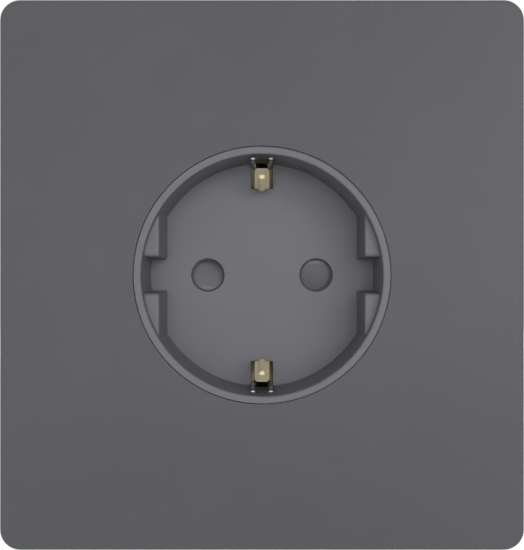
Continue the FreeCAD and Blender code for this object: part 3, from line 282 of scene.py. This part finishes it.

# %% [markdown]
# ## Burnished straps and painted shade
#
# The two straps that reach inwards to the earth tongues have been burnished by the tool that bent
# them, so the gloss rises near the socket's axis. Behind the recess's floor the same steel is given
# a dark grey colour: painted shade, standing in for the shade that falls there. Both follow from
# where a point lies, so the distance from the axis and the depth drive them.

# %% Gloss by radius, painted shade by depth
BENT_OUTSIDE, BENT_INSIDE = 22.0, 21.0     # mm from the axis, where the burnishing fades in
SHADE_FRONT, SHADE_BACK = 8.0, 11.0        # mm behind the wall's face, where the painted shade fades in
BURNISHED, SHADE_GREY = 0.06, "#3A3B3D"
flat = add(tree, "ShaderNodeMapping", {"Vector": where}, Scale=(1.0, 0.0, 1.0))
radius = add(tree, "ShaderNodeVectorMath", {0: flat.outputs[0]}, operation="LENGTH")
bent = add(tree, "ShaderNodeMapRange", {"Value": radius.outputs["Value"]},
           From_Min=BENT_OUTSIDE * MM, From_Max=BENT_INSIDE * MM)
gloss = add(tree, "ShaderNodeMapRange", {"Value": bent.outputs[0], "To Min": gloss.outputs[0]},
            To_Max=BURNISHED)
# Painted shade: from 8 to 11 mm behind the wall's face the colour blends into a flat dark grey,
# standing in for the recess's shade.
depth = add(tree, "ShaderNodeSeparateXYZ", {"Vector": where}).outputs["Y"]
painted_shade = add(tree, "ShaderNodeMapRange", {"Value": depth},
             From_Min=SHADE_FRONT * MM, From_Max=SHADE_BACK * MM)
shade = add(tree, "ShaderNodeMix", {0: painted_shade.outputs[0], 6: shade.outputs["Color"]},
            data_type="RGBA")
shade.inputs[7].default_value = colour(SHADE_GREY)
edge = add(tree, "ShaderNodeBevel", samples=EDGE_SAMPLES, Radius=EDGE_METAL * MM)
tree.links.new(shade.outputs[2], shader.inputs["Base Color"])
tree.links.new(gloss.outputs[0], shader.inputs["Roughness"])
tree.links.new(edge.outputs[0], shader.inputs["Normal"])
paint(galvanised, "support_ring")

# %% [markdown]
# ## Ejector marks
#
# When the press opens, steel pins push the base out of its mould, and each leaves a shallow round
# dimple in the back. The four dimples stand in a square, so taking the absolute value of the
# coordinates folds them into one, and a distance to its middle draws them all.

# %% Ejector marks on the base
MARK = Vector((13.5, 31.95, 13.5)) * MM              # middle of the first dimple, on the back
MARK_RADIUS, MARK_EDGE, MARK_DEPTH = 1.5, 0.1, 0.08  # mm, the edge is the width of its slope
tree = base_plastic.node_tree
shader = next(node for node in tree.nodes if node.type == "BSDF_PRINCIPLED")
skin = shader.inputs["Normal"].links[0].from_socket
where = add(tree, "ShaderNodeTexCoord").outputs["Object"]
folded = add(tree, "ShaderNodeVectorMath", {0: where}, operation="ABSOLUTE")
gap = add(tree, "ShaderNodeVectorMath", {0: folded.outputs[0]}, operation="DISTANCE")
gap.inputs[1].default_value = MARK
dimple = add(tree, "ShaderNodeMapRange", {"Value": gap.outputs["Value"]},
             From_Min=MARK_RADIUS * MM, From_Max=(MARK_RADIUS + MARK_EDGE) * MM)
pressed = add(tree, "ShaderNodeBump", {"Height": dimple.outputs[0], "Normal": skin},
              Strength=1.0, Distance=MARK_DEPTH * MM)
tree.links.new(pressed.outputs[0], shader.inputs["Normal"])
print("ejector marks:", MARK_RADIUS * 2, "mm across, nodes in the base's material:",
      len(tree.nodes))

# %% [markdown]
# ## From bmesh to piece
#
# The small pieces below are drawn in millimetres, each with a few bmesh operators. One function
# ends them all: it welds double corners, turns the faces outwards, scales the mesh to metres and
# lets the piece stand for the plainer solid. A piece that moves as one rides on its body.

# %% Finish a piece
WELD = 0.002                      # mm within which two corners are one
CREASE = math.radians(40)


def finish_piece(bm, name, material, body, replaced):
    """Turn a bmesh in millimetres into a piece that stands for a CAD node, and return it."""
    bmesh.ops.remove_doubles(bm, verts=bm.verts, dist=WELD)
    bmesh.ops.recalc_face_normals(bm, faces=bm.faces)
    bmesh.ops.scale(bm, vec=(MM, MM, MM), verts=bm.verts)
    open_edges = sum(not edge.is_manifold for edge in bm.edges)
    mesh = bpy.data.meshes.new(name)
    bm.to_mesh(mesh)
    bm.free()
    mesh.materials.append(material)
    mesh.shade_smooth()
    mesh.set_sharp_from_angle(angle=CREASE)
    piece = bpy.data.objects.new(name, mesh)
    bpy.context.scene.collection.objects.link(piece)
    if body:
        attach(piece, body)
    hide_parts(replaced)
    print(name, "faces:", len(mesh.polygons), "open edges:", open_edges)
    return piece


# %% [markdown]
# ## A screw thread
#
# Four machine screws clamp the insert and the base to the ring, and behind the ring their threads
# stick out. A thread is one tooth wound up a helix: the spin operator does that when each step
# also moves a little along the axis. The two ends of such a helix are ragged, so it is wound too
# long and cut square.

# %% Wind a thread
CREST, ROOT, PITCH = 1.1, 0.9, 0.45
TAIL, UNDER_HEAD = 1.5, -4.0      # depths of the screw's end and of its head's underside
NECK = 0.2                        # how far the thread reaches into the head
TURN_STEPS, SPARE_TURNS = 20, 3   # steps in one turn, and turns that the square cuts take off


def boundary(bm):
    """Edges with a face on one side only."""
    return [edge for edge in bm.edges if edge.is_boundary]


def everything(bm):
    """All the geometry of a bmesh, as most operators want it."""
    return bm.verts[:] + bm.edges[:] + bm.faces[:]


bm = bmesh.new()
turns = math.ceil((TAIL - UNDER_HEAD) / PITCH) + SPARE_TURNS
start = UNDER_HEAD - 2 * PITCH
tooth = [bm.verts.new((radius, start + rise, 0))
         for radius, rise in ((ROOT, 0), (CREST, PITCH / 2), (ROOT, PITCH))]
flanks = [bm.edges.new(pair) for pair in zip(tooth, tooth[1:])]
bmesh.ops.spin(bm, geom=tooth + flanks, cent=(0, 0, 0), axis=(0, 1, 0),
               dvec=(0, PITCH / TURN_STEPS, 0), angle=math.tau * turns, steps=TURN_STEPS * turns)
bmesh.ops.remove_doubles(bm, verts=bm.verts, dist=WELD)
for level, way in ((TAIL, 1), (UNDER_HEAD - NECK, -1)):
    bmesh.ops.bisect_plane(bm, geom=everything(bm), plane_co=(0, level, 0),
                           plane_no=(0, way, 0), clear_outer=True)
bmesh.ops.holes_fill(bm, edges=boundary(bm))
thread_mesh = bpy.data.meshes.new("Thread")
bm.to_mesh(thread_mesh)
bm.free()
print("thread turns:", turns, "faces:", len(thread_mesh.polygons))

# %% [markdown]
# ## A slotted pan head
#
# The head is domed and slotted. The dome comes from a lathe profile. Cutting it by three planes
# frees the strip where the slot runs, which is taken away and walled again: first the two sides,
# each from its edges and one new edge across the open top, and then the floor.

# %% Turn a head and cut its slot
SLOT_HALF, SLOT_FLOOR = 0.25, -4.6
ON_PLANE = 0.001                  # mm within which a corner lies on a cutting plane
HEAD = [(0, -5.1), (0.7, -5.06), (1.25, -4.92), (1.65, -4.68), (1.86, -4.36), (1.9, -4.15),
        (1.84, -4.03), (1.7, UNDER_HEAD), (0, UNDER_HEAD)]


def spun(bm, profile, steps=32):
    """Turn a profile of (radius, depth) points round the Y axis, as on a lathe."""
    corners = [bm.verts.new((radius, depth, 0)) for radius, depth in profile]
    line = [bm.edges.new(pair) for pair in zip(corners, corners[1:])]
    bmesh.ops.spin(bm, geom=corners + line, cent=(0, 0, 0), axis=(0, 1, 0),
                   angle=math.tau, steps=steps, use_merge=True)
    bmesh.ops.remove_doubles(bm, verts=bm.verts, dist=WELD)


bm = bmesh.new()
spun(bm, HEAD)
for place, way in (((0, 0, SLOT_HALF), (0, 0, 1)), ((0, 0, -SLOT_HALF), (0, 0, 1)),
                   ((0, SLOT_FLOOR, 0), (0, 1, 0))):
    bmesh.ops.bisect_plane(bm, geom=everything(bm), plane_co=place, plane_no=way)
middles = {face: face.calc_center_median() for face in bm.faces}
bmesh.ops.delete(bm, context="FACES", geom=[
    face for face, middle in middles.items()
    if abs(middle.z) < SLOT_HALF and middle.y < SLOT_FLOOR])
for side in (SLOT_HALF, -SLOT_HALF):
    wall = [edge for edge in boundary(bm)
            if all(abs(corner.co.z - side) < ON_PLANE for corner in edge.verts)]
    ends = [corner for corner in {v for edge in wall for v in edge.verts}
            if sum(edge in wall for edge in corner.link_edges) == 1]
    bmesh.ops.contextual_create(bm, geom=wall + [bm.edges.new(ends)])
bmesh.ops.holes_fill(bm, edges=boundary(bm))
print("head faces:", len(bm.faces), "open edges:", len(boundary(bm)))

# %% Four screws
SCREW_CIRCLE = 24.6               # mm from the socket's axis to each screw's
SCREW_PLACE = SCREW_CIRCLE * math.cos(math.radians(45))


def copies_round(bm, count):
    """Repeat the whole mesh evenly round the Y axis."""
    bmesh.ops.spin(bm, geom=everything(bm), cent=(0, 0, 0), axis=(0, 1, 0),
                   angle=math.tau * (count - 1) / count, steps=count - 1, use_duplicate=True)


bm.from_mesh(thread_mesh)
bmesh.ops.translate(bm, verts=bm.verts, vec=(SCREW_PLACE, 0, SCREW_PLACE))
copies_round(bm, 4)
bpy.data.meshes.remove(thread_mesh)
finish_piece(bm, "threaded_screws", plated_steel, "socket", "assembly_screws")

# %% [markdown]
# ## Rivets
#
# Two rivets hold the brass bridge to the straps. The press swells the shank and domes both heads,
# so the whole rivet is one lathe profile: down the dome, along the shank and up the other dome.

# %% Rivets
RIVET_PLACE, RIVET_SHANK = 11.4, 1.0
DOME = [(0, 0), (0.6, 0.04), (1.1, 0.16), (1.45, 0.36), (1.6, 0.6)]
TOP_HEAD, LOW_HEAD = 15.55, 18.45          # depths of the rivet's two ends
bm = bmesh.new()
spun(bm, [(radius, TOP_HEAD + sink) for radius, sink in DOME]
     + [(RIVET_SHANK, TOP_HEAD + DOME[-1][1]), (RIVET_SHANK, LOW_HEAD - DOME[-1][1])]
     + [(radius, LOW_HEAD - sink) for radius, sink in DOME[::-1]], steps=24)
bmesh.ops.translate(bm, verts=bm.verts, vec=(0, 0, RIVET_PLACE))
copies_round(bm, 2)
finish_piece(bm, "domed_rivets", plated_steel, "socket", "earth_rivets")

# %% [markdown]
# ## Shutter spring
#
# A round wire is wound two and a half times and both ends are left straight as legs. The spin
# operator winds a small circle, again with a step along the axis, and extruding the first and the
# last ring makes the legs.

# %% Wound spring
COIL_RADIUS, COIL_PITCH, COIL_TURNS = 3.5, 0.5, 2.5
COIL_START, COIL_STEPS = 13.35, 100
WIRE_RADIUS, LEG = 0.2, 2.2
bm = bmesh.new()
bmesh.ops.create_circle(bm, segments=12, radius=WIRE_RADIUS)
bmesh.ops.translate(bm, verts=bm.verts, vec=(COIL_RADIUS, COIL_START, 0))
first_ring = bm.edges[:]
wound = bmesh.ops.spin(bm, geom=bm.verts[:] + first_ring, cent=(0, 0, 0), axis=(0, -1, 0),
                       dvec=(0, -COIL_PITCH * COIL_TURNS / COIL_STEPS, 0),
                       angle=math.tau * COIL_TURNS, steps=COIL_STEPS)
last_ring = [item for item in wound["geom_last"] if isinstance(item, bmesh.types.BMEdge)]
for ring in (first_ring, last_ring):
    leg = bmesh.ops.extrude_edge_only(bm, edges=ring)["geom"]
    bmesh.ops.translate(bm, verts=[item for item in leg if isinstance(item, bmesh.types.BMVert)],
                        vec=(0, 0, -LEG))
bmesh.ops.holes_fill(bm, edges=boundary(bm))
finish_piece(bm, "wound_spring", spring_steel, "socket", "shutter_spring")

# %% [markdown]
# ## Release buttons
#
# The orange buttons open the wire clamps from behind. Each is a small moulding with soft edges
# and a sunk pad for the tip of a screwdriver. Here the ready solid is a good start: a copy of its
# mesh is welded, its flat faces are joined again, the back face is inset and sunk, and then every
# sharp edge gets a real bevel.

# %% Copy a solid, soften its edges
FLAT = math.radians(1)


def node_copy(node):
    """Copy a CAD node's mesh in millimetres, its corners welded and its flat faces joined."""
    bm = bmesh.new()
    bm.from_mesh(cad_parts[node].data)
    bmesh.ops.scale(bm, vec=(1 / MM, 1 / MM, 1 / MM), verts=bm.verts)
    bmesh.ops.remove_doubles(bm, verts=bm.verts, dist=WELD)
    bmesh.ops.dissolve_limit(bm, angle_limit=FLAT, verts=bm.verts, edges=bm.edges)
    print(node, "copied with", len(bm.faces), "flat faces")
    return bm


def soften(bm, degrees, offset, segments):
    """Bevel every edge that is sharper than so many degrees."""
    sharp = [edge for edge in bm.edges if edge.calc_face_angle(0) > math.radians(degrees)]
    bmesh.ops.bevel(bm, geom=sharp, affect="EDGES", offset=offset, segments=segments,
                    profile=0.5, material=-1)


# %% Bevelled buttons
PAD_INSET, PAD_SINK, BUTTON_EDGE = 0.5, 0.3, 0.12
for pole in ("live", "neutral", "earth"):
    node = f"{pole}_release_button"
    bm = node_copy(node)
    back = max(bm.faces, key=lambda face: face.calc_center_median().y)
    bmesh.ops.inset_region(bm, faces=[back], thickness=PAD_INSET, depth=-PAD_SINK)
    soften(bm, degrees=30, offset=BUTTON_EDGE, segments=2)
    finish_piece(bm, f"{pole}_button_cap", button_plastic, f"{pole}_button",
                 node)

# %% [markdown]
# ## Clamp springs
#
# Each terminal holds its wires with a leaf spring: a strip folded into a hook, whose leg leans on
# the pocket's wall and whose fingers press the wires on the rail. Pushing the button drives its
# wedge under the fingers, and they bend away. Here each spring is a stiff copy of its solid with
# its sharp edges bevelled, standing where it is, so the wedge would cut through it.

# %% Bevelled clamp springs
STRIP_EDGE = 0.05
for pole, outward in (("live", (-1, 0, 0)), ("neutral", (1, 0, 0)), ("earth", (0, 0, -1))):
    node = f"{pole}_clamp_spring"
    bm = node_copy(node)
    soften(bm, degrees=60, offset=STRIP_EDGE, segments=1)
    leaf = finish_piece(bm, f"{pole}_clamp_leaf", spring_steel, None, node)
    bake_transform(leaf)

# %% [markdown]
# ## Camera
#
# The photograph looks straight into the socket: the walls of the recess show equally on all
# sides. How much of them shows gives the distance, about 200 mm from the insert's front edge,
# and the plate then fills the frame from edge to edge.

# %% Camera
CAMERA_GAP = 202.0                # mm from the insert's front edge to the lens
RING_FRONT = 9.4                  # mm from the wall's face to the insert's front edge
VIEW_HALF_HEIGHT = 44.43          # mm from the middle of the frame to its top, at that edge
camera_data = bpy.data.cameras.new("Camera")
camera = bpy.data.objects.new("Camera", camera_data)
bpy.context.scene.collection.objects.link(camera)
camera.location = (0, -(CAMERA_GAP + RING_FRONT) * MM, 0)
camera.rotation_euler = (math.radians(90), 0, 0)
camera_data.sensor_fit = "VERTICAL"
camera_data.sensor_height = 36
camera_data.lens = camera_data.sensor_height * CAMERA_GAP / (2 * VIEW_HALF_HEIGHT)
camera_data.clip_start = 0.01
bpy.context.scene.camera = camera
print("lens:", round(camera_data.lens, 2), "mm")

# %% [markdown]
# ## Light
#
# The floor of the recess is as bright as the plate and its walls are dark, so most of the light
# comes straight from the front. A glossy dark plate is a mirror for what stands there, so that
# lamp is kept out of mirrored rays and leaves no patch. A weaker one, up and to the right, gives
# the left and the lower walls their lead over the others, and two faint soft boxes, outside the
# cone that the plate mirrors into the lens, put a line of light on the rounded edges and the metal.

# %% Soft boxes
def softbox(name, x, z, watts, size=0.44, gap=0.9, mirrored=True):
    """Hang a square lamp so far in front of the wall, aimed at the socket's middle."""
    data = bpy.data.lights.new(name, "AREA")
    data.size = size
    data.energy = watts
    lamp = bpy.data.objects.new(name, data)
    bpy.context.scene.collection.objects.link(lamp)
    spot = Vector((x, -gap, z))
    aim = (-spot).to_track_quat("-Z", "Y").to_matrix().to_4x4()
    lamp.matrix_world = Matrix.Translation(spot) @ aim
    lamp.visible_glossy = mirrored
    print(name, watts, "W,", round(spot.length, 2), "m away")


softbox("FrontBox", 0.0, 0.0, 5.15, size=0.3, mirrored=False)
softbox("NearRightBox", 0.27, 0.16, 1.75, size=0.3, mirrored=False)
softbox("RightBox", 0.47, 0.05, 0.9)
softbox("LeftBox", -0.47, 0.0, 0.2)
# Two more hang behind the wall's face and light the back, which the photograph doesn't show.
softbox("BackBox", 0.25, 0.30, 3.2, size=0.4, gap=-0.9)
softbox("BackLeftBox", -0.45, 0.15, 1.4, size=0.4, gap=-0.7)

# %% [markdown]
# ## World
#
# The room is a dim, even white. The lens sees it at full white, and so do shiny metals, because
# the Light Path node tells a camera ray or a mirrored ray from a ray that only lights things.

# %% World
DIM, FULL_WHITE = 0.17, 1.0
world = bpy.data.worlds.new("World")
bpy.context.scene.world = world
world.use_nodes = True
sky = world.node_tree
sky.nodes.clear()
rays = add(sky, "ShaderNodeLightPath").outputs
direct = add(sky, "ShaderNodeMath", {0: rays["Is Camera Ray"], 1: rays["Is Transmission Ray"]},
             operation="MAXIMUM")
seen = add(sky, "ShaderNodeMath", {0: direct.outputs[0], 1: rays["Is Glossy Ray"]},
           operation="MAXIMUM")
dim = add(sky, "ShaderNodeBackground", Color=colour("#FFFFFF"), Strength=DIM)
white = add(sky, "ShaderNodeBackground", Color=colour("#FFFFFF"), Strength=FULL_WHITE)
pick = add(sky, "ShaderNodeMixShader", {0: seen.outputs[0], 1: dim.outputs[0],
                                        2: white.outputs[0]})
add(sky, "ShaderNodeOutputWorld", {"Surface": pick.outputs[0]})
bpy.context.scene.view_settings.view_transform = "Standard"
print("world nodes:", len(sky.nodes))

# %% [markdown]
# ## Floor
#
# A plain pale floor lies just under the part and runs out of sight. Lit by lamps alone it would
# be grey next to the white room, so it glows for the lens and for mirrored rays, which leaves it
# almost white and keeps the part's soft shadow on it.

# %% Floor
FLOOR_DROP = 6.0                  # mm under the part's lowest point
FLOOR_REACH = 1.5                 # metres from its middle to its edge
FLOOR_GLOW = 0.75
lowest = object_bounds()[0][2]
bm = bmesh.new()
bmesh.ops.create_grid(bm, x_segments=1, y_segments=1, size=FLOOR_REACH)
bmesh.ops.translate(bm, verts=bm.verts, vec=(0, 0, lowest - FLOOR_DROP * MM))
floor_mesh = bpy.data.meshes.new("Floor")
bm.to_mesh(floor_mesh)
bm.free()
floor = bpy.data.objects.new("Floor", floor_mesh)
bpy.context.scene.collection.objects.link(floor)
floor_material, floor_tree, floor_shader = start_material(
    "PaleFloor", Base_Color=colour("#E8E8E6"), Roughness=0.9,
    Emission_Color=colour("#FFFFFF"))
rays = add(floor_tree, "ShaderNodeLightPath").outputs
seen = add(floor_tree, "ShaderNodeMath", {0: rays["Is Camera Ray"], 1: rays["Is Glossy Ray"]},
           operation="MAXIMUM")
lift = add(floor_tree, "ShaderNodeMath", {0: seen.outputs[0]}, operation="MULTIPLY")
lift.inputs[1].default_value = FLOOR_GLOW
floor_tree.links.new(lift.outputs[0], floor_shader.inputs["Emission Strength"])
floor_mesh.materials.append(floor_material)
print("floor at", round(lowest / MM - FLOOR_DROP, 1), "mm")
